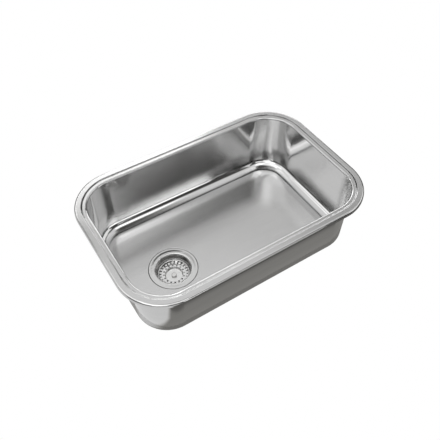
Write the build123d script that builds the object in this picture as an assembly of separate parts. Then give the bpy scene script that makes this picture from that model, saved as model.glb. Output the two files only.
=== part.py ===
from build123d import *
from math import radians, tan
import os

# A single-bowl stainless steel kitchen sink with its basket strainer waste.
# X runs along the bowl, Y towards its back and Z up. The origin is the middle of the plane that the rim
# rests on, so the worktop's face is z = 0. Sizes are in millimetres.

# Bowl: one pressed sheet, with a stepped rim that is rolled down at its outer edge
rim_length = 608.0
rim_width = 400.0
rim_corner_radius = 105.0
rim_height = 9.0
sheet = 1.0
rim_roll_radius = 5.0
outer_land = 10.0
step_run = 3.0
step_drop = 2.5
step_rounding = 2.0
inner_land = 5.5
lip_radius = 4.0
bowl_depth = 161.0
wall_draft_degrees = 1.2
floor_fillet = 20.0
floor_lap = 3.0

# Waste position, and the recess that the strainer's flange sits in
waste_x = -144.0
waste_y = -16.0
recess_radius = 59.0
recess_depth = 4.5
recess_slope = 0.8
recess_rounding = 1.2
recess_lap = 3.0
waste_hole_radius = 45.0

# Foam seal under the rim, and the damping pad glued under the floor
seal_inset = 0.5
seal_width = 7.0
pad_length = 250.0
pad_width = 200.0
pad_corner_radius = 20.0
pad_thickness = 2.0
pad_x = 90.0

# Rings that clamp the strainer to the recess
flange_seal_thickness = 1.5
gasket_thickness = 3.0
friction_ring_thickness = 1.0
ring_clearance = 0.4
clamp_ring_radius = 57.0
lock_nut_radius = 54.0
lock_nut_notches = 8
lock_nut_notch_width = 9.0
lock_nut_notch_depth = 4.0
lock_nut_rounding = 1.0
lock_thread_pitch = 2.0
lock_thread_depth = 1.0
lock_thread_turns = 7
lock_nut_turns = 5
thread_clearance = 0.2

# Strainer body: flange, throat, ledge under the basket's rim, well, and threaded outlet
flange_thickness = 2.7
flange_gap = 0.3
flange_rounding = 0.6
neck_clearance = 0.6
throat_wall = 1.8
throat_lip_radius = 4.0
throat_taper = 4.6
throat_depth = 19.5
ledge_width = 2.2
well_fillet = 4.0
well_wall = 4.0
seat_thickness = 3.5
outlet_radius = 19.0
outlet_length = 26.0
outlet_thread_radius = 23.9
outlet_thread_depth = 1.2
outlet_thread_pitch = 2.3
outlet_thread_turns = 8

# Cross in the outlet that guides the stem, and the spring ring in its hub
cross_drop = 8.0
cross_height = 6.0
cross_ring_wall = 1.5
cross_spokes = 4
cross_spoke_width = 3.0
cross_hub_radius = 6.5
catch_ring_height = 1.0
catch_ring_width = 1.4
catch_ring_gap = 1.6

# Tailpiece and the nut that holds it
outlet_washer_thickness = 2.5
tail_radius = 19.0
tail_wall = 1.2
tail_length = 100.0
tail_flange_radius = 22.6
tail_flange_thickness = 1.5
tail_relief_length = 6.0
tail_relief_depth = 0.3
coupling_turns = 5
coupling_lip = 3.0
coupling_across_flats = 58.0
coupling_chamfer = 1.5

# Basket: perforated shell with a sunk cup in its middle, centre plate, knob and stem
shell = 0.8
shell_clearance = 0.4
shell_rounding = 1.2
bead_radius = 1.3
bead_gap = 0.4
bead_clearance = 0.6
basket_wall_height = 7.0
basket_wall_taper = 0.4
cup_radius = 21.5
cup_depth = 8.0
cup_taper = 1.0
hole_radius = 2.1
outer_hole_circle = 31.8
outer_hole_count = 24
inner_hole_circle = 24.6
inner_hole_count = 16
plate_gap = 1.0
plate_thickness = 0.8
knob_foot_radius = 4.6
knob_waist_radius = 4.0
knob_waist_height = 1.6
knob_head_radius = 6.2
knob_flare = 1.2
knob_height = 5.0
knob_waist_rounding = 0.6
knob_rim_rounding = 0.4
knob_top_rounding = 1.5
stem_radius = 3.0
stem_in_knob = 3.2
stem_below_cross = 7.0
stem_nose = 1.0
stem_groove_depth = 0.5
stem_groove_height = 1.6
basket_stroke = 8.0

# Stopper under the basket, its backing washer, and the nut on the stem
stopper_thickness = 5.0
seat_width = 4.0
stem_clearance = 0.35
backing_radius = 15.0
backing_thickness = 1.2
stem_nut_across_flats = 10.0
stem_nut_height = 4.0

# Levels that follow from the sizes, from the bowl's floor down
floor_z = rim_height - bowl_depth
recess_z = floor_z - recess_depth
under_recess_z = recess_z - sheet
flange_under_z = recess_z + flange_seal_thickness
flange_top_z = flange_under_z + flange_thickness
gasket_foot_z = under_recess_z - gasket_thickness
clamp_z = gasket_foot_z - friction_ring_thickness
ledge_z = flange_top_z - throat_depth
bead_z = ledge_z + bead_gap + bead_radius
basket_floor_z = bead_z - basket_wall_height
cup_floor_z = basket_floor_z - cup_depth
plate_top_z = cup_floor_z + plate_thickness
stopper_top_z = cup_floor_z - shell
seat_z = stopper_top_z - stopper_thickness
backing_foot_z = seat_z - backing_thickness
stem_nut_foot_z = backing_foot_z - stem_nut_height
body_foot_z = seat_z - seat_thickness
outlet_foot_z = body_foot_z - outlet_length
cross_top_z = seat_z - cross_drop
cross_foot_z = cross_top_z - cross_height
cross_middle_z = cross_top_z - cross_height / 2
tail_top_z = outlet_foot_z - outlet_washer_thickness
tail_flange_foot_z = tail_top_z - tail_flange_thickness

# Radii that follow from the waste hole, from the neck inwards
neck_radius = waste_hole_radius - neck_clearance
ring_hole_radius = neck_radius + ring_clearance
flange_radius = recess_radius - recess_slope - flange_gap
flange_seal_radius = flange_radius - recess_rounding
throat_top_radius = neck_radius - throat_wall
throat_foot_radius = throat_top_radius - throat_taper
well_radius = throat_foot_radius - ledge_width
well_outer_radius = well_radius + well_wall
bead_circle = throat_foot_radius - bead_clearance - bead_radius
basket_mouth_radius = well_radius - shell_clearance - shell
basket_foot_radius = basket_mouth_radius - basket_wall_taper
cup_floor_radius = cup_radius - cup_taper
guide_radius = stem_radius + stem_clearance

# Centre of the rim's rounded corner on the +X +Y side
corner_x = rim_length / 2 - rim_corner_radius
corner_y = rim_width / 2 - rim_corner_radius


def upright_face(corners):
    """A face in the XZ plane from its (radius, height, rounding) corners."""
    points = [(radius, height) for radius, height, _ in corners]
    roundings = [rounding for _, _, rounding in corners]
    return make_face(Plane.XZ * FilletPolyline(*points, radius=roundings, close=True))


def sheet_face(corners, thickness):
    """A strip of sheet in the XZ plane. Its corners trace the top face, from the outer edge inwards."""
    points = [(radius, height) for radius, height, _ in corners]
    roundings = [rounding for _, _, rounding in corners[1:-1]]
    top_line = FilletPolyline(*points, radius=roundings).wire()
    strip = top_line.offset_2d(thickness, kind=Kind.ARC, side=Side.LEFT, closed=True)
    return make_face(Plane.XZ * strip)


def turned(face):
    """A face turned once about the waste's axis."""
    return revolve(face, Axis.Z, 360)


def flat_ring(outer_radius, inner_radius, foot, top):
    """A plain ring about the waste's axis."""
    outline = Circle(outer_radius) - Circle(inner_radius)
    return Pos(0, 0, foot) * extrude(outline, amount=top - foot)


def hexagon(across_flats, foot, top):
    """A hexagonal bar about the waste's axis."""
    outline = RegularPolygon(across_flats / 2, 6, major_radius=False)
    return Pos(0, 0, foot) * extrude(outline, amount=top - foot)


def thread_corners(crest_radius, depth, pitch, top, turns):
    """Corners of a thread's ridges from the top down, each ridge closed on itself."""
    corners = [(crest_radius - depth, top, 0)]
    for turn in range(turns):
        corners.append((crest_radius, top - (turn + 0.5) * pitch, 0))
        corners.append((crest_radius - depth, top - (turn + 1) * pitch, 0))
    return corners


def carried_round(section):
    """A section, drawn at its distance from a corner's centre, carried once round the rim."""
    right = extrude(Pos(corner_x, -corner_y, 0) * section, amount=2 * corner_y, dir=(0, 1, 0))
    bend = revolve(section, Axis.Z, 90)
    back_face = Pos(corner_x, corner_y, 0) * Rot(0, 0, 90) * section
    back = extrude(back_face, amount=2 * corner_x, dir=(-1, 0, 0))
    first_bend = Pos(corner_x, corner_y, 0) * bend
    second_bend = Pos(-corner_x, corner_y, 0) * Rot(0, 0, 90) * bend
    half = right + first_bend + back + second_bend
    return half + Rot(0, 0, 180) * half


def at_waste(shape):
    """Moves a shape made about the Z axis to the waste's place in the floor."""
    return Pos(waste_x, waste_y, 0) * shape


def bowl():
    """The pressed sheet: rim and walls in one section, a flat floor, and the recess for the waste."""
    step_outer = rim_corner_radius - rim_roll_radius - outer_land
    step_inner = step_outer - step_run
    shelf_z = rim_height - step_drop
    wall_top = step_inner - inner_land - lip_radius
    wall_foot = wall_top - (shelf_z - floor_z) * tan(radians(wall_draft_degrees))
    floor_edge = wall_foot - floor_fillet - floor_lap
    section = sheet_face(
        [
            (rim_corner_radius, 0, 0),
            (rim_corner_radius, rim_height, rim_roll_radius),
            (step_outer, rim_height, step_rounding),
            (step_inner, shelf_z, step_rounding),
            (wall_top, shelf_z, lip_radius),
            (wall_foot, floor_z, floor_fillet),
            (floor_edge, floor_z, 0),
        ],
        sheet,
    )
    floor_outline = RectangleRounded(2 * (corner_x + floor_edge), 2 * (corner_y + floor_edge), floor_edge)
    floor = Pos(0, 0, floor_z - sheet) * extrude(floor_outline, amount=sheet)
    cut_out = Pos(0, 0, floor_z - sheet) * Cylinder(recess_radius + recess_lap, 4 * sheet)
    recess = turned(
        sheet_face(
            [
                (recess_radius + recess_lap, floor_z, 0),
                (recess_radius, floor_z, recess_rounding),
                (recess_radius - recess_slope, recess_z, recess_rounding),
                (waste_hole_radius, recess_z, 0),
            ],
            sheet,
        )
    )
    return carried_round(section) + (floor - at_waste(cut_out)) + at_waste(recess)


def rim_seal():
    """Foam strip under the rim's outer land, pressed level with the rim's lower edge."""
    outer = rim_corner_radius - rim_roll_radius - seal_inset
    top = rim_height - sheet
    inner = outer - seal_width
    return carried_round(upright_face([(outer, 0, 0), (outer, top, 0), (inner, top, 0), (inner, 0, 0)]))


def damping_pad():
    """Sheet of damping rubber glued under the floor, clear of the waste."""
    outline = RectangleRounded(pad_length, pad_width, pad_corner_radius)
    return Pos(pad_x, 0, floor_z - sheet - pad_thickness) * extrude(outline, amount=pad_thickness)


def strainer_body():
    """One turned casting: flange, throat, well, threaded neck for the lock nut and threaded outlet."""
    outlet_root = outlet_thread_radius - outlet_thread_depth
    outlet_thread_top = outlet_foot_z + outlet_thread_turns * outlet_thread_pitch
    neck_thread = thread_corners(
        neck_radius, lock_thread_depth, lock_thread_pitch, clamp_z, lock_thread_turns
    )
    outlet_thread = thread_corners(
        outlet_thread_radius, outlet_thread_depth, outlet_thread_pitch, outlet_thread_top, outlet_thread_turns
    )
    neck_thread_foot = clamp_z - lock_thread_turns * lock_thread_pitch
    corners = [
        (flange_radius, flange_under_z, 0),
        (flange_radius, flange_top_z, flange_rounding),
        (throat_top_radius, flange_top_z, throat_lip_radius),
        (throat_foot_radius, ledge_z, 0),
        (well_radius, ledge_z, 0),
        (well_radius, seat_z, well_fillet),
        (outlet_radius, seat_z, 0),
        (outlet_radius, outlet_foot_z, 0),
    ]
    corners += reversed(outlet_thread)
    corners += [
        (outlet_root, body_foot_z, 0),
        (well_outer_radius, body_foot_z, well_fillet),
        (well_outer_radius, neck_thread_foot, 0),
    ]
    corners += reversed(neck_thread)
    corners += [
        (neck_radius, clamp_z, 0),
        (neck_radius, flange_under_z, 0),
    ]
    return turned(upright_face(corners))


def flange_seal():
    """Rubber ring between the strainer's flange and the recess."""
    return flat_ring(flange_seal_radius, ring_hole_radius, recess_z, flange_under_z)


def lower_gasket():
    """Rubber ring pressed against the underside of the recess."""
    return flat_ring(clamp_ring_radius, ring_hole_radius, gasket_foot_z, under_recess_z)


def friction_ring():
    """Thin slip ring that lets the lock nut turn without dragging the gasket."""
    return flat_ring(clamp_ring_radius, ring_hole_radius, clamp_z, gasket_foot_z)


def lock_nut():
    """Notched ring nut that clamps the strainer to the bowl."""
    height = lock_nut_turns * lock_thread_pitch
    foot = clamp_z - height
    thread = thread_corners(
        neck_radius + thread_clearance, lock_thread_depth, lock_thread_pitch, clamp_z, lock_nut_turns
    )
    rounded_side = [
        (lock_nut_radius, foot, lock_nut_rounding),
        (lock_nut_radius, clamp_z, lock_nut_rounding),
    ]
    nut = turned(upright_face(thread + rounded_side))
    notch = Box(2 * lock_nut_notch_depth, lock_nut_notch_width, height)
    for place in PolarLocations(lock_nut_radius, lock_nut_notches):
        nut -= Pos(0, 0, foot) * place * notch
    return nut


def outlet_cross():
    """Ring pressed into the outlet, with spokes to the hub that guides the stem."""
    ring = flat_ring(outlet_radius, outlet_radius - cross_ring_wall, cross_foot_z, cross_top_z)
    spoke_length = outlet_radius - cross_ring_wall / 2
    spoke = Pos(spoke_length / 2, 0, cross_middle_z) * Box(spoke_length, cross_spoke_width, cross_height)
    cross = ring + flat_ring(cross_hub_radius, guide_radius, cross_foot_z, cross_top_z)
    for place in PolarLocations(0, cross_spokes):
        cross += place * spoke
    groove_radius = guide_radius + catch_ring_width
    groove = Pos(0, 0, cross_middle_z) * Cylinder(groove_radius, catch_ring_height)
    bore = Pos(0, 0, cross_middle_z) * Cylinder(guide_radius, cross_height)
    return cross - groove - bore


def catch_ring():
    """Split spring ring in the hub, drawn as it is when the stem holds it open."""
    foot = cross_middle_z - catch_ring_height / 2
    outer = guide_radius + catch_ring_width
    ring = flat_ring(outer, guide_radius, foot, foot + catch_ring_height)
    slit = Pos(outer, 0, cross_middle_z) * Box(2 * guide_radius, catch_ring_gap, 2 * catch_ring_height)
    return ring - slit


def outlet_washer():
    """Washer between the outlet's end and the tailpiece's flange."""
    return flat_ring(tail_flange_radius, tail_radius - tail_wall, tail_top_z, outlet_foot_z)


def tailpiece():
    """Plain tube for the trap's slip joint, with a flange, and a relief under it that clears the nut."""
    bore = tail_radius - tail_wall
    tail_foot_z = tail_top_z - tail_length
    relief_radius = tail_radius - tail_relief_depth
    relief_foot_z = tail_flange_foot_z - tail_relief_length
    return turned(
        upright_face(
            [
                (bore, tail_foot_z, 0),
                (bore, tail_top_z, 0),
                (tail_flange_radius, tail_top_z, 0),
                (tail_flange_radius, tail_flange_foot_z, 0),
                (relief_radius, tail_flange_foot_z, 0),
                (relief_radius, relief_foot_z, 0),
                (tail_radius, relief_foot_z, 0),
                (tail_radius, tail_foot_z, 0),
            ]
        )
    )


def coupling_nut():
    """Hexagonal nut on the outlet's thread that draws the tailpiece's flange up."""
    top = outlet_foot_z + coupling_turns * outlet_thread_pitch
    foot = tail_flange_foot_z - coupling_lip
    cavity_radius = outlet_thread_radius + thread_clearance
    lip_bore = tail_radius + ring_clearance
    thread = thread_corners(cavity_radius, outlet_thread_depth, outlet_thread_pitch, top, coupling_turns)
    cavity = turned(
        upright_face(
            [(0, top, 0)]
            + thread
            + [
                (cavity_radius, outlet_foot_z, 0),
                (cavity_radius, tail_flange_foot_z, 0),
                (lip_bore, tail_flange_foot_z, 0),
                (lip_bore, foot, 0),
                (0, foot, 0),
            ]
        )
    )
    round_bar = Cylinder(coupling_across_flats / 2 + coupling_chamfer, top - foot)
    round_bar = chamfer(round_bar.edges().filter_by(GeomType.CIRCLE), coupling_chamfer)
    trimmed = hexagon(coupling_across_flats, foot, top) & Pos(0, 0, (top + foot) / 2) * round_bar
    return trimmed - cavity


def basket_shell():
    """Perforated basket with a beaded rim, two rows of holes in its floor and a sunk cup in the middle."""
    basket = turned(
        sheet_face(
            [
                (bead_circle, bead_z, 0),
                (basket_mouth_radius, bead_z, shell_rounding),
                (basket_foot_radius, basket_floor_z, shell_rounding),
                (cup_radius, basket_floor_z, shell_rounding),
                (cup_floor_radius, cup_floor_z, shell_rounding),
                (stem_radius, cup_floor_z, 0),
            ],
            shell,
        )
    )
    basket += Pos(0, 0, bead_z) * Torus(bead_circle, bead_radius)
    hole = Pos(0, 0, basket_floor_z) * Cylinder(hole_radius, basket_wall_height)
    hole_rows = [(outer_hole_circle, outer_hole_count), (inner_hole_circle, inner_hole_count)]
    for row_radius, count in hole_rows:
        for place in PolarLocations(row_radius, count):
            basket -= place * hole
    return basket


def centre_plate():
    """Plain disc that stiffens the floor of the cup under the knob."""
    plate_radius = cup_floor_radius - shell_rounding - plate_gap
    return flat_ring(plate_radius, stem_radius, cup_floor_z, plate_top_z)


def knob():
    """Turned finger knob screwed on the stem's top."""
    socket_z = plate_top_z + stem_in_knob
    top = plate_top_z + knob_height
    waist_z = plate_top_z + knob_waist_height
    head_z = waist_z + knob_flare
    return turned(
        upright_face(
            [
                (stem_radius, plate_top_z, 0),
                (knob_foot_radius, plate_top_z, 0),
                (knob_waist_radius, waist_z, knob_waist_rounding),
                (knob_head_radius, head_z, knob_rim_rounding),
                (knob_head_radius, top, knob_top_rounding),
                (0, top, 0),
                (0, socket_z, 0),
                (stem_radius, socket_z, 0),
            ]
        )
    )


def stem():
    """Round stem from the knob down through the cross, with a groove for each height of the basket."""
    top = plate_top_z + stem_in_knob
    foot = cross_foot_z - stem_below_cross
    rod = Pos(0, 0, (top + foot) / 2) * Cylinder(stem_radius, top - foot)
    rod = chamfer(rod.edges().group_by(Axis.Z)[0], stem_nose)
    groove = flat_ring(
        2 * stem_radius,
        stem_radius - stem_groove_depth,
        cross_middle_z - stem_groove_height / 2,
        cross_middle_z + stem_groove_height / 2,
    )
    return rod - groove - Pos(0, 0, -basket_stroke) * groove


def stopper():
    """Rubber disc under the basket's cup that closes the outlet."""
    return flat_ring(outlet_radius + seat_width, guide_radius, seat_z, stopper_top_z)


def backing_washer():
    """Steel washer that backs the stopper."""
    return flat_ring(backing_radius, guide_radius, backing_foot_z, seat_z)


def stem_nut():
    """Nut that holds the stopper and the basket on the stem."""
    middle_z = (stem_nut_foot_z + backing_foot_z) / 2
    bore = Pos(0, 0, middle_z) * Cylinder(stem_radius, stem_nut_height)
    return hexagon(stem_nut_across_flats, stem_nut_foot_z, backing_foot_z) - bore


bowl_pieces = {
    "bowl": bowl,
    "rim_seal": rim_seal,
    "damping_pad": damping_pad,
}
waste_pieces = {
    "strainer_body": strainer_body,
    "flange_seal": flange_seal,
    "lower_gasket": lower_gasket,
    "friction_ring": friction_ring,
    "lock_nut": lock_nut,
    "outlet_cross": outlet_cross,
    "catch_ring": catch_ring,
    "outlet_washer": outlet_washer,
    "tailpiece": tailpiece,
    "coupling_nut": coupling_nut,
    "basket_shell": basket_shell,
    "centre_plate": centre_plate,
    "knob": knob,
    "stem": stem,
    "stem_nut": stem_nut,
    "stopper": stopper,
    "backing_washer": backing_washer,
}

os.makedirs("parts", exist_ok=True)
for name, make in bowl_pieces.items():
    export_step(make(), f"parts/{name}.step")
for name, make in waste_pieces.items():
    export_step(at_waste(make()), f"parts/{name}.step")
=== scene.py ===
import bpy
from math import cos, pi, radians, sin, tan
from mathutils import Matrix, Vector


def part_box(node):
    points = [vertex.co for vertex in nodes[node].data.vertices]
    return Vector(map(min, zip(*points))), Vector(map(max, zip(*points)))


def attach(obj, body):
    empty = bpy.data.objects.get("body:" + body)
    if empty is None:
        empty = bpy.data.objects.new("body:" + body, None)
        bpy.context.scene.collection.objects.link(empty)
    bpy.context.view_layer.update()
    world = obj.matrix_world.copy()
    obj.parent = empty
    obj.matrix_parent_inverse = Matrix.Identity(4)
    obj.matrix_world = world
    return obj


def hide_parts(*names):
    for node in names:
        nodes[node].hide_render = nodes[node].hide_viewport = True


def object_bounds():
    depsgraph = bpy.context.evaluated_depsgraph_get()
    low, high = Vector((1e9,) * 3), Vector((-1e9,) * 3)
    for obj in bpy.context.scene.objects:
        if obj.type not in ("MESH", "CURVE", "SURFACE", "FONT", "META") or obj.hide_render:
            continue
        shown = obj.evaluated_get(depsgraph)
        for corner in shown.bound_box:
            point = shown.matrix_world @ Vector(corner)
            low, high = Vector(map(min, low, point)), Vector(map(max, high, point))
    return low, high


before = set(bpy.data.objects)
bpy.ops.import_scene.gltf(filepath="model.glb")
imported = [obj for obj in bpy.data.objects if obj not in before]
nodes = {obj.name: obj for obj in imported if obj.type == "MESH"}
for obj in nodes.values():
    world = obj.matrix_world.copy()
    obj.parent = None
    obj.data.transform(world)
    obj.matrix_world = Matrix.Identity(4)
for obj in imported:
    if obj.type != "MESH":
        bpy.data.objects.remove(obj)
cad_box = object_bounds()


# Bowl
# One sheet of stainless steel, pressed to shape in a die. Its rim is stepped, and rolled down at the outer
# edge. The sheet is brushed: the lines run along the floor and the rim, and level round the walls.

mm = 0.001


def place(tree, kind, inputs, **settings):
    """Places one shader node in a tree, then fills its inputs or joins them to other nodes' outputs."""
    node = tree.nodes.new("ShaderNode" + kind)
    for name, value in settings.items():
        setattr(node, name, value)
    for socket, value in inputs.items():
        if isinstance(value, bpy.types.NodeSocket):
            tree.links.new(value, node.inputs[socket])
        else:
            node.inputs[socket].default_value = value
    return node


def maths(tree, operation, *values):
    """The result of one arithmetic node on numbers or other nodes' outputs."""
    return place(tree, "Math", dict(enumerate(values)), operation=operation).outputs[0]


def noise(tree, spot, scale, detail, distortion=0.0):
    """Soft noise from 0 to 1 at a spot."""
    sockets = {"Vector": spot, "Scale": scale, "Detail": detail, "Distortion": distortion}
    return place(tree, "TexNoise", sockets).outputs["Fac"]


def spread(tree, value, low, high):
    """A value from 0 to 1, taken to the span from low to high."""
    return place(tree, "MapRange", {"Value": value, "To Min": low, "To Max": high}).outputs["Result"]


def ramp(tree, value, start, end):
    """A mask that goes evenly from 0 at the start to 1 at the end."""
    return place(tree, "MapRange", {"Value": value, "From Min": start, "From Max": end}).outputs["Result"]


def ease(tree, value, start, end, top=1.0):
    """A value that goes smoothly from 0 at the start to its top at the end."""
    span = {"Value": value, "From Min": start, "From Max": end, "To Max": top}
    return place(tree, "MapRange", span, interpolation_type="SMOOTHSTEP").outputs["Result"]


def between(tree, mask, first, second):
    """A number between two, by a mask."""
    return place(tree, "Mix", {"Factor": mask, "A": first, "B": second}).outputs["Result"]


def shade(tree, mask, first, second):
    """A colour between two, by a mask."""
    colours = {"Factor": mask, "A": (*first, 1), "B": (*second, 1)}
    return place(tree, "Mix", colours, data_type="RGBA").outputs["Result"]


def start_group(name, inputs, outputs):
    """A shader node group of numbers; gives its tree, its inputs and its outputs."""
    tree = bpy.data.node_groups.new(name, "ShaderNodeTree")
    for socket in inputs:
        tree.interface.new_socket(socket, in_out="INPUT", socket_type="NodeSocketFloat")
    for socket in outputs:
        tree.interface.new_socket(socket, in_out="OUTPUT", socket_type="NodeSocketFloat")
    return tree, tree.nodes.new("NodeGroupInput").outputs, tree.nodes.new("NodeGroupOutput").inputs


def make_brushed_lines():
    """Scratches of an abrasive belt, all one way: hair lines, and broader streaks under them."""
    tree, given, made = start_group("brushed_lines", ["Along", "Across", "Width"], ["Hair", "Streak"])
    hair_length = 50.0 * mm
    hairs_in_streak = 14.0
    streak_stretch = 2.0
    along = maths(tree, "DIVIDE", given["Along"], hair_length)
    across = maths(tree, "DIVIDE", given["Across"], given["Width"])
    hair_spot = place(tree, "CombineXYZ", {"X": along, "Y": across}).outputs[0]
    streak_across = maths(tree, "DIVIDE", across, hairs_in_streak)
    streak_spot = place(tree, "CombineXYZ", {"X": along, "Y": streak_across}).outputs[0]
    tree.links.new(noise(tree, hair_spot, scale=1.0, detail=2.0), made["Hair"])
    tree.links.new(noise(tree, streak_spot, scale=1 / streak_stretch, detail=3.0), made["Streak"])
    return tree


def make_handling_marks():
    """Broad dull patches, as cloths and hands leave them."""
    tree, given, made = start_group("handling_marks", ["Patches Per Metre"], ["Dull"])
    spot = place(tree, "TexCoord", {}).outputs["Object"]
    tree.links.new(noise(tree, spot, scale=given["Patches Per Metre"], detail=4.0), made["Dull"])
    return tree


brushed_lines = make_brushed_lines()
handling_marks = make_handling_marks()


def start_finish(name, metallic):
    """A new material; gives it with its tree and its shader."""
    material = bpy.data.materials.new(name)
    material.use_nodes = True
    shader = material.node_tree.nodes["Principled BSDF"]
    shader.inputs["Metallic"].default_value = metallic
    return material, material.node_tree, shader


def set_bump(tree, shader, height, distance=1.0):
    """Raises the surface by a height in metres, or by a height from 0 to 1 times a distance in metres."""
    bump = place(tree, "Bump", {"Height": height, "Distance": distance, "Strength": 1.0})
    tree.links.new(bump.outputs["Normal"], shader.inputs["Normal"])


def give(material, *names):
    """Puts one finish on whole CAD nodes."""
    for name in names:
        nodes[name].data.materials.clear()
        nodes[name].data.materials.append(material)


def bowed_walls(tree, at, facing):
    """The height of the walls' slow bow, which tightens near the foot. Both faces of the sheet lean in."""
    wall_bow_radius = 1800.0 * mm
    foot_bow_radius = 200.0 * mm
    foot_bow_drop = 88.0 * mm
    floor_drop = 151.0 * mm
    level_bias = 1.0 * mm
    below_rim = maths(tree, "MAXIMUM", maths(tree, "MULTIPLY", at["Z"], -1.0), 0.0)
    drop = maths(tree, "MINIMUM", below_rim, floor_drop)
    in_foot = maths(tree, "MAXIMUM", maths(tree, "SUBTRACT", drop, foot_bow_drop), 0.0)
    foot_bow = maths(tree, "MULTIPLY", maths(tree, "MULTIPLY", in_foot, in_foot), 0.5 / foot_bow_radius)
    wall_bow = maths(tree, "MULTIPLY", maths(tree, "MULTIPLY", drop, drop), 0.5 / wall_bow_radius)
    bow = maths(tree, "ADD", foot_bow, wall_bow)
    underside = maths(tree, "MULTIPLY", facing["Z"], -level_bias)
    out_x = maths(tree, "MULTIPLY_ADD", at["X"], facing["X"], underside)
    outwards = maths(tree, "SIGN", maths(tree, "MULTIPLY_ADD", at["Y"], facing["Y"], out_x))
    return maths(tree, "MULTIPLY", bow, maths(tree, "MULTIPLY", outwards, -1.0))


def bowl_reach(tree, at):
    """How far a point lies outside the rectangle between the centres of the rim's corners."""
    rim_corner = 105.0 * mm
    past_x = maths(tree, "SUBTRACT", maths(tree, "ABSOLUTE", at["X"]), cad_box[1].x - rim_corner)
    past_y = maths(tree, "SUBTRACT", maths(tree, "ABSOLUTE", at["Y"]), cad_box[1].y - rim_corner)
    outside = {"X": maths(tree, "MAXIMUM", past_x, 0.0), "Y": maths(tree, "MAXIMUM", past_y, 0.0)}
    offset = place(tree, "CombineXYZ", outside).outputs[0]
    return place(tree, "VectorMath", {0: offset}, operation="LENGTH").outputs["Value"]


def floor_gutter(tree, reach, facing):
    """The height of the shallow gutter that the press leaves between the floor and its fillet."""
    gutter_start = 49.5 * mm
    gutter_foot = 56.5 * mm
    gutter_end = 73.0 * mm
    gutter_depth = 1.1 * mm
    fall = ease(tree, reach, gutter_start, gutter_foot, -gutter_depth)
    rise = ease(tree, reach, gutter_end, gutter_foot)
    upwards = maths(tree, "SIGN", facing["Z"])
    return maths(tree, "MULTIPLY", maths(tree, "MULTIPLY", fall, rise), upwards)


def rim_crease(tree, reach):
    """The height that sharpens the edge of the rim's step."""
    crease_inner = 87.2 * mm
    crease_outer = 89.8 * mm
    crease_rise = 2.7 * mm
    return ease(tree, reach, crease_inner, crease_outer, crease_rise)


def make_bowl_steel():
    """Brushed stainless sheet, smoother on the walls than on the rim and the floor. The press leaves slow
    waves in it."""
    material, tree, shader = start_finish("bowl_steel", 1.0)
    dark_steel = (0.545, 0.545, 0.544)
    light_steel = (0.695, 0.695, 0.694)
    hair_width = 0.45 * mm
    hair_height = 0.00012 * mm
    hair_share = 0.7
    wave_length = 70.0 * mm
    wave_height = 0.015 * mm
    patches_per_metre = 7.0
    wall_rough = 0.1
    rim_rough = 0.2
    floor_rough = 0.24
    wear = 0.05
    steep = 0.55
    gentle = 0.75
    nearly_level = 0.97
    all_level = 0.995
    rim_down_to = -100.0 * mm
    floor_up_to = -120.0 * mm

    # The lines run along the length on level faces, and level round the steep ones.
    spot = place(tree, "TexCoord", {}).outputs["Object"]
    at = place(tree, "SeparateXYZ", {"Vector": spot}).outputs
    normal = place(tree, "NewGeometry", {}).outputs["Normal"]
    facing = place(tree, "SeparateXYZ", {"Vector": normal}).outputs
    level = maths(tree, "ABSOLUTE", facing["Z"])
    flat = ramp(tree, level, steep, gentle)
    along = between(tree, flat, maths(tree, "ADD", at["X"], at["Y"]), at["X"])
    across = between(tree, flat, at["Z"], at["Y"])
    brushing = {"Along": along, "Across": across, "Width": hair_width}
    lines = place(tree, "Group", brushing, node_tree=brushed_lines).outputs
    handling = {"Patches Per Metre": patches_per_metre}
    marks = place(tree, "Group", handling, node_tree=handling_marks).outputs
    broad_tint = maths(tree, "MULTIPLY", lines["Streak"], 1 - hair_share)
    tint = maths(tree, "MULTIPLY_ADD", lines["Hair"], hair_share, broad_tint)
    tree.links.new(shade(tree, tint, dark_steel, light_steel), shader.inputs["Base Color"])

    # Level faces are the duller ones, and the floor is duller than the rim.
    level_rough = spread(tree, ramp(tree, at["Z"], rim_down_to, floor_up_to), rim_rough, floor_rough)
    rough = between(tree, ramp(tree, level, nearly_level, all_level), wall_rough, level_rough)
    from_lines = spread(tree, lines["Streak"], 1 - wear, 1 + wear)
    from_marks = spread(tree, marks["Dull"], 1 - wear, 1 + wear)
    worn = maths(tree, "MULTIPLY", maths(tree, "MULTIPLY", rough, from_lines), from_marks)
    tree.links.new(worn, shader.inputs["Roughness"])

    # The shapes and waves of the press and the lines of the belt add up to one height in metres.
    reach = bowl_reach(tree, at)
    bowed = maths(tree, "ADD", bowed_walls(tree, at, facing), floor_gutter(tree, reach, facing))
    pressed = maths(tree, "ADD", bowed, rim_crease(tree, reach))
    wave = noise(tree, spot, scale=1 / wave_length, detail=1.0)
    waved = maths(tree, "MULTIPLY_ADD", wave, wave_height, pressed)
    set_bump(tree, shader, maths(tree, "MULTIPLY_ADD", lines["Hair"], hair_height, waved))
    return material


give(make_bowl_steel(), "bowl")


# Rim seal
# A strip of closed-cell foam stuck under the rim, and pressed flat against the worktop. It is laid once
# round and butted at the back, where its cut ends leave a hair's gap.


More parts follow.
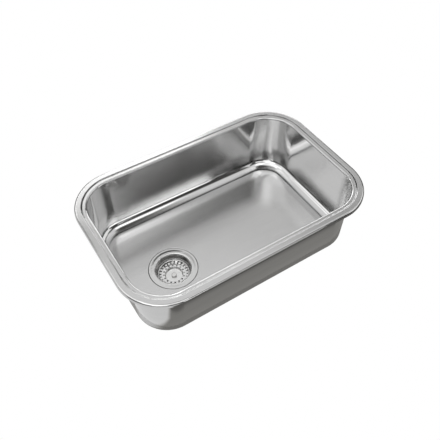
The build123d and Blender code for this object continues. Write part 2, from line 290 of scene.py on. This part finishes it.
def rounded_outline(half_length, half_width, corner_radius, bend_steps, side_steps):
    """Points once round a rounded rectangle from the middle of its back, each with its way out."""
    run_x = half_length - corner_radius
    run_y = half_width - corner_radius
    corners = [(run_x, run_y), (run_x, -run_y), (-run_x, -run_y), (-run_x, run_y)]
    points = []
    for quarter, corner in enumerate(corners):
        for step in range(bend_steps + 1):
            angle = pi / 2 * (1 - quarter - step / bend_steps)
            out = Vector((cos(angle), sin(angle)))
            points.append((Vector(corner) + corner_radius * out, out))
        next_start = Vector(corners[(quarter + 1) % 4]) + corner_radius * out
        bend_end = points[-1][0]
        points += [(bend_end.lerp(next_start, step / side_steps), out) for step in range(1, side_steps)]
    half_side = side_steps // 2
    return points[-half_side:] + points[:-half_side]


def skin(name, rings):
    """A closed mesh piece: each ring of points is joined to the next, and the first and last are capped."""
    count = len(rings[0])
    faces = []
    for ring in range(len(rings) - 1):
        here = ring * count
        there = here + count
        for point in range(count):
            after = (point + 1) % count
            faces.append((here + point, here + after, there + after, there + point))
    faces.append(tuple(reversed(range(count))))
    faces.append(tuple(range((len(rings) - 1) * count, len(rings) * count)))
    mesh = bpy.data.meshes.new(name)
    mesh.from_pydata([point for ring in rings for point in ring], [], faces)
    mesh.polygons.foreach_set("use_smooth", [True] * len(mesh.polygons))
    mesh.set_sharp_from_angle(angle=pi / 4)
    mesh.validate()
    piece = bpy.data.objects.new(name, mesh)
    bpy.context.scene.collection.objects.link(piece)
    return piece


def stand_for(piece, node, body, material):
    """Puts a modelled piece in the place of a CAD node of the same body."""
    piece.data.materials.append(material)
    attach(piece, body)
    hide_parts(node)


def make_foam():
    """Charcoal foam: cut cells of about a millimetre, some torn open."""
    material, tree, shader = start_finish("seal_foam", 0.0)
    charcoal = (0.025, 0.025, 0.026)
    faded = (0.062, 0.061, 0.06)
    cells_per_metre = 1100.0
    fades_per_metre = 35.0
    cell_depth = 0.4 * mm
    cell_rough = 0.95
    edge_rough = 0.75
    spot = place(tree, "TexCoord", {}).outputs["Object"]
    cells = place(tree, "TexVoronoi", {"Vector": spot, "Scale": cells_per_metre}).outputs["Distance"]
    fade = noise(tree, spot, scale=fades_per_metre, detail=3.0)
    tree.links.new(shade(tree, fade, charcoal, faded), shader.inputs["Base Color"])
    tree.links.new(spread(tree, cells, cell_rough, edge_rough), shader.inputs["Roughness"])
    set_bump(tree, shader, cells, cell_depth)
    return material


def make_rim_seal():
    """The foam strip, with sides that swell a little between its two flats."""
    low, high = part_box("rim_seal")
    seal_width = 7.0 * mm
    corner_radius = 99.5 * mm
    butt_gap = 0.6 * mm
    section_points = 28
    bend_steps = 24
    side_steps = 40
    squareness = 0.36
    half_width = seal_width / 2
    half_height = (high.z - low.z) / 2
    middle_radius = corner_radius - half_width
    path = rounded_outline(high.x - half_width, high.y - half_width, middle_radius, bend_steps, side_steps)
    path[0] = (path[0][0] + Vector((butt_gap / 2, 0)), path[0][1])
    path.append((path[0][0] - Vector((butt_gap, 0)), path[0][1]))
    rings = []
    for spot, out in path:
        ring = []
        for step in range(section_points):
            angle = 2 * pi * step / section_points
            across = half_width * abs(cos(angle)) ** squareness * (1 if cos(angle) > 0 else -1)
            up = half_height * abs(sin(angle)) ** squareness * (1 if sin(angle) > 0 else -1)
            ring.append((*(spot + across * out), low.z + half_height + up))
        rings.append(ring)
    return skin("rim_seal_foam", rings)


rim_seal = make_rim_seal()
stand_for(rim_seal, "rim_seal", "sink", make_foam())


# Damping pad
# A mat of heavy rubber glued under the floor to quieten falling water. Its face is moulded with ribs that
# follow its outline.


def make_mat_rubber():
    """Grey-black rubber with a dusty bloom and the fine grain of its mould."""
    material, tree, shader = start_finish("damping_rubber", 0.0)
    black = (0.03, 0.03, 0.032)
    dusty = (0.075, 0.075, 0.078)
    blooms_per_metre = 22.0
    grains_per_metre = 1400.0
    grain_height = 0.15 * mm
    clean_rough = 0.55
    dusty_rough = 0.85
    spot = place(tree, "TexCoord", {}).outputs["Object"]
    grain = noise(tree, spot, scale=grains_per_metre, detail=2.0)
    bloom = noise(tree, spot, scale=blooms_per_metre, detail=5.0)
    tree.links.new(shade(tree, bloom, black, dusty), shader.inputs["Base Color"])
    tree.links.new(spread(tree, bloom, clean_rough, dusty_rough), shader.inputs["Roughness"])
    set_bump(tree, shader, grain, grain_height)
    return material


def make_damping_pad():
    """The mat, with a rounded edge, a plain border and ribs on the face that hangs down."""
    low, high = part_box("damping_pad")
    middle = (low + high) / 2
    half_length = (high.x - low.x) / 2
    half_width = (high.y - low.y) / 2
    corner_radius = 20.0 * mm
    least_radius = 0.5 * mm
    edge_rounding = 0.6 * mm
    edge_bevel = 0.3 * edge_rounding
    border = 8.0 * mm
    rib_pitch = 11.5 * mm
    rib_count = 8
    groove_depth = 0.7 * mm
    groove_side = 0.8 * mm
    bend_steps = 10
    side_steps = 12
    line = [
        (edge_rounding, high.z),
        (edge_bevel, high.z - edge_bevel),
        (0, high.z - edge_rounding),
        (0, low.z + edge_rounding),
        (edge_bevel, low.z + edge_bevel),
        (edge_rounding, low.z),
    ]
    for rib in range(rib_count):
        start = border + rib * rib_pitch
        line += [
            (start, low.z),
            (start + groove_side, low.z + groove_depth),
            (start + rib_pitch / 2 - groove_side, low.z + groove_depth),
            (start + rib_pitch / 2, low.z),
        ]
    rings = []
    for inset, height in line:
        radius = max(corner_radius - inset, least_radius)
        outline = rounded_outline(half_length - inset, half_width - inset, radius, bend_steps, side_steps)
        rings.append([(middle.x + spot.x, middle.y + spot.y, height) for spot, _ in outline])
    return skin("damping_pad_rubber", rings)


damping_pad = make_damping_pad()
stand_for(damping_pad, "damping_pad", "sink", make_mat_rubber())


# Strainer body
# One casting of stainless steel, turned on a lathe: flange, throat, well and two threads. It is dropped
# into the recess in the floor on a rubber seal. The lathe's tool leaves fine rings round its axis.

waste_low, waste_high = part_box("strainer_body")
waste_middle = (waste_low + waste_high) / 2


def about_waste(tree):
    """A point's place as seen from the waste's axis, and its distance from that axis."""
    spot = place(tree, "TexCoord", {}).outputs["Object"]
    axis = (waste_middle.x, waste_middle.y, 0.0)
    offset = place(tree, "VectorMath", {0: spot, 1: axis}, operation="SUBTRACT").outputs["Vector"]
    level = place(tree, "VectorMath", {0: offset, 1: (1, 1, 0)}, operation="MULTIPLY").outputs["Vector"]
    radius = place(tree, "VectorMath", {0: level}, operation="LENGTH").outputs["Value"]
    return place(tree, "SeparateXYZ", {"Vector": offset}).outputs, radius


def make_turned_rings():
    """Tool rings about the waste's axis, for pieces made on a lathe."""
    tree, given, made = start_group("turned_rings", ["Pitch"], ["Rings", "Bands"])
    ring_drift = 0.25
    bands_per_ring = 0.12
    at, radius = about_waste(tree)
    turn = maths(tree, "DIVIDE", maths(tree, "ADD", radius, at["Z"]), given["Pitch"])
    swing = maths(tree, "MULTIPLY", maths(tree, "ARCTAN2", at["Y"], at["X"]), ring_drift)
    ring_spot = place(tree, "CombineXYZ", {"X": turn, "Y": swing}).outputs[0]
    tree.links.new(noise(tree, ring_spot, scale=1.0, detail=2.0), made["Rings"])
    tree.links.new(noise(tree, ring_spot, scale=bands_per_ring, detail=2.0), made["Bands"])
    return tree


turned_rings = make_turned_rings()


def make_turned_steel(name, dark, light, smooth, dull, pitch, relief=None):
    """Metal from the lathe, from its two tints, its roughness at best and worst, the pitch of the tool's
    rings and, where it has one, a function for a relief in metres."""
    material, tree, shader = start_finish(name, 1.0)
    patches_per_metre = 40.0
    mark_share = 0.6
    ring_height = 0.004 * mm
    rings = place(tree, "Group", {"Pitch": pitch}, node_tree=turned_rings).outputs
    handling = {"Patches Per Metre": patches_per_metre}
    marks = place(tree, "Group", handling, node_tree=handling_marks).outputs
    tree.links.new(shade(tree, rings["Bands"], dark, light), shader.inputs["Base Color"])
    from_bands = maths(tree, "MULTIPLY", rings["Bands"], 1 - mark_share)
    worn = maths(tree, "MULTIPLY_ADD", marks["Dull"], mark_share, from_bands)
    tree.links.new(spread(tree, worn, smooth, dull), shader.inputs["Roughness"])
    height = maths(tree, "MULTIPLY_ADD", rings["Rings"], ring_height, relief(tree) if relief else 0.0)
    set_bump(tree, shader, height)
    return material


def flange_lip(tree):
    """The height of the low lip that the flange has round the throat."""
    lip_top = 48.0 * mm
    lip_foot = 53.5 * mm
    lip_rise = 0.5 * mm
    return ease(tree, about_waste(tree)[1], lip_foot, lip_top, lip_rise)


def make_strainer_steel():
    """The casting's finish: bright on the flange, with a dark band of painted shade round the throat."""
    material = make_turned_steel(
        "strainer_steel",
        dark=(0.61, 0.609, 0.606),
        light=(0.69, 0.689, 0.686),
        smooth=0.12,
        dull=0.24,
        pitch=0.3 * mm,
        relief=flange_lip,
    )
    # Painted shade: the throat's wall is darkened in a band just below the flange.
    throat_shade_colour = (0.27, 0.268, 0.262)
    shade_top = waste_high.z - 3.0 * mm
    shade_foot = waste_high.z - 13.0 * mm
    shade_fade = 3.0 * mm
    tree = material.node_tree
    tint = tree.nodes["Principled BSDF"].inputs["Base Color"]
    height = about_waste(tree)[0]["Z"]
    below = ramp(tree, height, shade_top, shade_top - shade_fade)
    above = ramp(tree, height, shade_foot - shade_fade, shade_foot)
    throat_shade = maths(tree, "MULTIPLY", below, above)
    colours = {"Factor": throat_shade, "A": tint.links[0].from_socket, "B": (*throat_shade_colour, 1)}
    shaded_colour = place(tree, "Mix", colours, data_type="RGBA").outputs["Result"]
    tree.links.new(shaded_colour, tint)
    return material


give(make_strainer_steel(), "strainer_body")


# Clamp rings and stopper rubber
# Black moulded rubber seals above and below the recess, and the rubber disc under the basket. A pressed
# fibre ring lets the lock nut turn on the lower one.


def make_seal_rubber():
    """Black rubber, a little greasy, with grey bloom in patches."""
    material, tree, shader = start_finish("seal_rubber", 0.0)
    black = (0.012, 0.012, 0.012)
    bloomed = (0.045, 0.044, 0.043)
    blooms_per_metre = 60.0
    grains_per_metre = 1800.0
    grain_height = 0.06 * mm
    greasy_rough = 0.42
    dry_rough = 0.68
    spot = place(tree, "TexCoord", {}).outputs["Object"]
    bloom = noise(tree, spot, scale=blooms_per_metre, detail=4.0)
    grain = noise(tree, spot, scale=grains_per_metre, detail=2.0)
    tree.links.new(shade(tree, bloom, black, bloomed), shader.inputs["Base Color"])
    tree.links.new(spread(tree, bloom, greasy_rough, dry_rough), shader.inputs["Roughness"])
    set_bump(tree, shader, grain, grain_height)
    return material


def make_fibre():
    """Pressed brown board with short fibres lying every way."""
    material, tree, shader = start_finish("ring_fibre", 0.0)
    brown = (0.21, 0.13, 0.07)
    straw = (0.47, 0.34, 0.21)
    fibres_per_metre = 420.0
    fibre_curl = 3.0
    fibre_height = 0.12 * mm
    hollow_rough = 0.95
    fibre_rough = 0.7
    spot = place(tree, "TexCoord", {}).outputs["Object"]
    fibres = noise(tree, spot, scale=fibres_per_metre, detail=6.0, distortion=fibre_curl)
    tree.links.new(shade(tree, fibres, brown, straw), shader.inputs["Base Color"])
    tree.links.new(spread(tree, fibres, hollow_rough, fibre_rough), shader.inputs["Roughness"])
    set_bump(tree, shader, fibres, fibre_height)
    return material


give(make_seal_rubber(), "flange_seal", "lower_gasket", "stopper")
give(make_fibre(), "friction_ring")


# Lock nut
# A notched ring nut moulded in dark grey plastic. It is spun up the strainer's neck and tightened by its
# notches against the fibre ring.


def make_moulded_plastic(name, dark, light, rough):
    """Moulded plastic: the fine grain of its mould, and flow marks that shift its tint and gloss."""
    material, tree, shader = start_finish(name, 0.0)
    flows_per_metre = 28.0
    flow_swirl = 1.5
    grains_per_metre = 2200.0
    grain_height = 0.05 * mm
    gloss_shift = 0.08
    spot = place(tree, "TexCoord", {}).outputs["Object"]
    flow = noise(tree, spot, scale=flows_per_metre, detail=3.0, distortion=flow_swirl)
    grain = noise(tree, spot, scale=grains_per_metre, detail=2.0)
    tree.links.new(shade(tree, flow, dark, light), shader.inputs["Base Color"])
    worn = spread(tree, flow, rough - gloss_shift, rough + gloss_shift)
    tree.links.new(worn, shader.inputs["Roughness"])
    set_bump(tree, shader, grain, grain_height)
    return material


nut_plastic = make_moulded_plastic(
    "nut_plastic",
    dark=(0.045, 0.046, 0.05),
    light=(0.085, 0.087, 0.092),
    rough=0.46,
)
give(nut_plastic, "lock_nut")


# Outlet cross, catch ring and small hardware
# The cross is cast and turned with the strainer. The split ring, the stem nut and the washer behind the
# stopper are plain bright steel.

cross_steel = make_turned_steel(
    "cross_steel",
    dark=(0.5, 0.497, 0.49),
    light=(0.6, 0.597, 0.59),
    smooth=0.3,
    dull=0.42,
    pitch=0.4 * mm,
)
spring_steel = make_turned_steel(
    "spring_steel",
    dark=(0.46, 0.46, 0.465),
    light=(0.56, 0.56, 0.565),
    smooth=0.16,
    dull=0.26,
    pitch=0.25 * mm,
)
give(cross_steel, "outlet_cross")
give(spring_steel, "catch_ring", "stem_nut", "backing_washer")


# Tailpiece
# A thin tube plated bright, with a flange that the hexagonal coupling nut draws up against a white plastic
# washer. The trap's slip joint goes on its lower end.

washer_plastic = make_moulded_plastic(
    "washer_plastic",
    dark=(0.66, 0.65, 0.62),
    light=(0.78, 0.77, 0.74),
    rough=0.4,
)
tail_chrome = make_turned_steel(
    "tail_chrome",
    dark=(0.66, 0.665, 0.675),
    light=(0.73, 0.735, 0.745),
    smooth=0.05,
    dull=0.13,
    pitch=0.8 * mm,
)
give(washer_plastic, "outlet_washer")
give(tail_chrome, "tailpiece", "coupling_nut")


# Basket
# A dish stamped from polished steel with two rows of punched holes, a rolled bead, and a cup in its middle
# that holds a plain disc. The knob is turned and screwed to the stem.

basket_steel = make_turned_steel(
    "basket_steel",
    dark=(0.46, 0.459, 0.456),
    light=(0.94, 0.939, 0.936),
    smooth=0.03,
    dull=0.08,
    pitch=0.5 * mm,
)
plate_steel = make_turned_steel(
    "plate_steel",
    dark=(0.7, 0.699, 0.696),
    light=(0.84, 0.839, 0.836),
    smooth=0.16,
    dull=0.25,
    pitch=0.35 * mm,
)
knob_steel = make_turned_steel(
    "knob_steel",
    dark=(0.64, 0.637, 0.63),
    light=(0.74, 0.737, 0.73),
    smooth=0.07,
    dull=0.14,
    pitch=0.3 * mm,
)
give(basket_steel, "basket_shell")
give(plate_steel, "centre_plate")
give(knob_steel, "knob", "stem")


# Studio
# A white floor and surround, and soft boxes placed round the sink out of the camera's sight. The sink hangs
# clear of the floor, as it would by its rim in a worktop.

scene = bpy.context.scene
white = (1, 1, 1)
dim_tone = (1, 0.98, 0.935)


def make_floor_finish():
    """White to the camera. To the steel it glows as a lit floor would, with painted light and shade: pale
    at the left of the sink, and elsewhere a painted shadow of the sink, grey and a little warm, darker in
    front. It can be seen through from below."""
    lit_glow = 0.8
    shadow_glow = 0.28
    front_shadow_glow = 0.14
    left_start = -262.0 * mm
    left_full = -305.0 * mm
    front_start = -282.0 * mm
    front_full = -298.0 * mm
    material = bpy.data.materials.new("floor_white")
    material.use_nodes = True
    tree = material.node_tree
    tree.nodes.clear()
    spot = place(tree, "NewGeometry", {}).outputs
    at = place(tree, "SeparateXYZ", {"Vector": spot["Position"]}).outputs
    # Painted light and shade: a pale pool at the left, and a painted shadow of the sink elsewhere, darker
    # in front.
    front_shade = ease(tree, at["Y"], front_start, front_full)
    lit_side = ease(tree, at["X"], left_start, left_full)
    glow = spread(tree, lit_side, spread(tree, front_shade, shadow_glow, front_shadow_glow), lit_glow)
    to_camera = place(tree, "LightPath", {}).outputs["Is Camera Ray"]
    strength = between(tree, to_camera, glow, 1.0)
    tone = shade(tree, maths(tree, "MAXIMUM", lit_side, to_camera), dim_tone, white)
    light = place(tree, "Emission", {"Color": tone, "Strength": strength}).outputs[0]
    clear = place(tree, "BsdfTransparent", {}).outputs[0]
    seen = place(tree, "MixShader", {0: spot["Backfacing"], 1: light, 2: clear}).outputs[0]
    place(tree, "OutputMaterial", {"Surface": seen})
    return material


def make_floor():
    """A flat pale floor just under the tailpiece."""
    floor_reach = 6.0
    floor_gap = 10.0 * mm
    level = cad_box[0].z - floor_gap
    corners = [(-1, -1), (1, -1), (1, 1), (-1, 1)]
    mesh = bpy.data.meshes.new("floor")
    mesh.from_pydata([(floor_reach * x, floor_reach * y, level) for x, y in corners], [], [(0, 1, 2, 3)])
    mesh.materials.append(make_floor_finish())
    floor = bpy.data.objects.new("floor", mesh)
    scene.collection.objects.link(floor)
    return floor


def make_surround():
    """A white backdrop to the camera. To the steel it is dim and a little warm, with a paler ring half way
    up, whose foot is cut back over the front."""
    surround_glow = 0.07
    ring_glow = 0.92
    ring_foot, ring_full = radians(46), radians(53)
    ring_fading, ring_top = radians(70), radians(78)
    notch_start, notch_full = radians(-90), radians(-75)
    notch_fading, notch_end = radians(-30), radians(-15)
    notch_rise = 0.06
    world = bpy.data.worlds.new("surround")
    world.use_nodes = True
    tree = world.node_tree
    away = place(tree, "TexCoord", {}).outputs["Generated"]
    towards = place(tree, "SeparateXYZ", {"Vector": away}).outputs
    turn = maths(tree, "ARCTAN2", towards["Y"], towards["X"])
    entering = ease(tree, turn, notch_start, notch_full, notch_rise)
    leaving = ease(tree, turn, notch_end, notch_fading)
    notched = maths(tree, "SUBTRACT", towards["Z"], maths(tree, "MULTIPLY", entering, leaving))
    rising = ease(tree, notched, sin(ring_foot), sin(ring_full))
    falling = ease(tree, towards["Z"], sin(ring_top), sin(ring_fading))
    ring = maths(tree, "MULTIPLY", rising, falling)
    glow = spread(tree, ring, surround_glow, ring_glow)
    to_camera = place(tree, "LightPath", {}).outputs["Is Camera Ray"]
    tone = shade(tree, maths(tree, "MAXIMUM", ring, to_camera), dim_tone, white)
    strength = between(tree, to_camera, glow, 1.0)
    backdrop = tree.nodes["Background"].inputs
    tree.links.new(strength, backdrop["Strength"])
    tree.links.new(tone, backdrop["Color"])
    return world


def add_softbox(name, azimuth, elevation, width, height, brightness):
    """A soft box that faces the bowl. Its place and its size are angles in degrees as seen from there."""
    reach = 4.0
    turn = radians(azimuth)
    rise = radians(elevation)
    outwards = Vector((cos(rise) * cos(turn), cos(rise) * sin(turn), sin(rise)))
    light = bpy.data.lights.new(name, "AREA")
    light.shape = "RECTANGLE"
    light.size = 2 * reach * tan(radians(width / 2))
    light.size_y = 2 * reach * tan(radians(height / 2))
    light.energy = brightness * pi * light.size * light.size_y
    softbox = bpy.data.objects.new(name, light)
    softbox.location = reach * outwards
    softbox.rotation_euler = outwards.to_track_quat("Z", "Y").to_euler()
    softbox.visible_camera = False
    scene.collection.objects.link(softbox)


floor = make_floor()
scene.world = make_surround()
add_softbox("left", azimuth=-178, elevation=50, width=75, height=40, brightness=0.7)
add_softbox("left_top", azimuth=-150, elevation=80, width=40, height=20, brightness=0.9)
add_softbox("front_top", azimuth=-68, elevation=68, width=18, height=15, brightness=1.0)
add_softbox("front_low", azimuth=-75, elevation=8, width=30, height=15, brightness=2.0)
add_softbox("right", azimuth=-18, elevation=32, width=50, height=28, brightness=1.1)
add_softbox("back_low", azimuth=60, elevation=22, width=40, height=14, brightness=3.3)
add_softbox("back_foot", azimuth=60, elevation=8, width=60, height=13, brightness=1.5)
add_softbox("back", azimuth=90, elevation=38, width=45, height=14, brightness=2.0)
add_softbox("back_right", azimuth=45, elevation=40, width=50, height=12, brightness=0.6)
add_softbox("back_left", azimuth=142, elevation=39, width=40, height=12, brightness=0.8)
add_softbox("front_left", azimuth=-142, elevation=44.5, width=36, height=17, brightness=1.2)
add_softbox("left_low", azimuth=150, elevation=8, width=50, height=14, brightness=1.0)
add_softbox("front_left_low", azimuth=-130, elevation=24, width=25, height=14, brightness=1.6)
add_softbox("front", azimuth=-98, elevation=40, width=30, height=10, brightness=1.5)

# The camera's place, turn and lens are fitted to the rim's edges in the photograph.
camera_data = bpy.data.cameras.new("camera")
camera_data.lens = 43.36
camera_data.sensor_width = 36.0
camera = bpy.data.objects.new("camera", camera_data)
camera.location = (-0.438, -0.683, 0.876)
camera_back = Vector((-0.3465, -0.5444, 0.764))
camera.rotation_euler = (-camera_back).to_track_quat("-Z", "Y").to_euler()
scene.collection.objects.link(camera)
scene.camera = camera
scene.view_settings.view_transform = "Standard"
